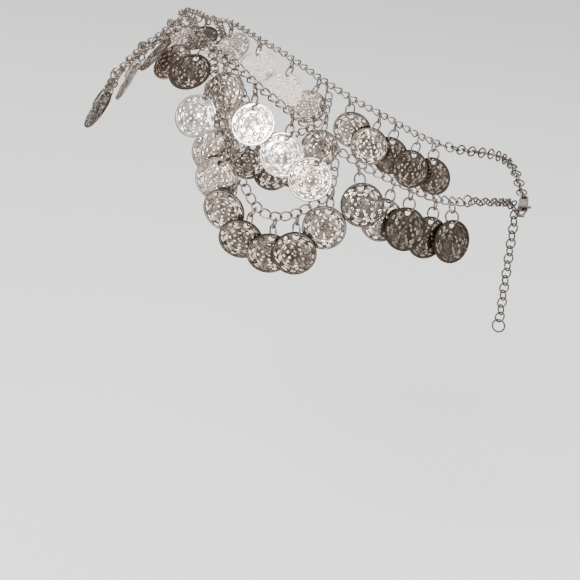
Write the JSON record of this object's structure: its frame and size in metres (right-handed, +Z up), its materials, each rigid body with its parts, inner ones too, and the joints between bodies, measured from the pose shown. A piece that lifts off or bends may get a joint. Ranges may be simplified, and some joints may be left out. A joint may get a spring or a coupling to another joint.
{
  "type": "coin head chain",
  "caption": "Head chain of fine links worn round the crown, with looped swags, coin drops on jump rings and a coarse chain with a trigger clasp.",
  "frame": {"origin": "front peak of the long chain, where it sits on the crown over the brow, on the middle plane", "axes": "+Z up, +X towards the back of the head, -Y the wearer's left"},
  "size_m": [0.1929, 0.1594, 0.121],
  "materials": {
    "silver": "worn silver-toned metal",
    "dark": "darkened silver-toned metal"
  },
  "bodies": {
    "chain": {"main_chain": "silver", "near_side_swag": "silver", "far_side_swag": "silver", "centre_swag": "silver", "near_end_ring": "silver", "far_end_ring": "silver", "hanging_chain": "dark", "last_ring": "dark", "tail_chain": "dark", "swag_rings": "silver", "near_main_rings": "silver", "far_main_rings": "silver", "near_swag_rings": "silver", "far_swag_rings": "silver", "centre_rings": "silver", "centre_coins": "silver", "clasp_body": "dark", "near_main_coin_1": "silver", "near_main_coin_2": "silver", "near_main_coin_3": "silver", "near_main_coin_4": "silver", "near_main_coin_5": "silver", "near_main_coin_6": "silver", "near_main_coin_7": "silver", "near_main_coin_8": "silver", "near_main_coin_9": "silver", "near_main_coin_10": "silver", "near_main_coin_11": "silver", "far_main_coin_1": "silver", "far_main_coin_2": "silver", "far_main_coin_3": "silver", "far_main_coin_4": "silver", "far_main_coin_5": "silver", "far_main_coin_6": "silver", "far_main_coin_7": "silver", "far_main_coin_8": "silver", "far_main_coin_9": "silver", "far_main_coin_10": "silver", "far_main_coin_11": "silver", "near_swag_coin_1": "silver", "near_swag_coin_2": "silver", "near_swag_coin_3": "silver", "near_swag_coin_4": "silver", "near_swag_coin_5": "silver", "near_swag_coin_6": "silver", "near_swag_coin_7": "silver", "near_swag_coin_8": "silver", "far_swag_coin_1": "silver", "far_swag_coin_2": "silver", "far_swag_coin_3": "silver", "far_swag_coin_4": "silver", "far_swag_coin_5": "silver", "far_swag_coin_6": "silver", "far_swag_coin_7": "silver", "far_swag_coin_8": "silver"},
    "trigger": {"clasp_trigger": "dark"}
  },
  "joints": [
    {"name": "trigger_hinge", "type": "hinge", "parent": "chain", "child": "trigger", "pos_m": [0.15394, -0.01634, -0.0635], "axis": [0.1662, 0.3838, -0.9083], "range_deg": [0, 12], "stiffness_Nm_per_rad": 0.01, "springref_deg": -11.46}
  ]
}
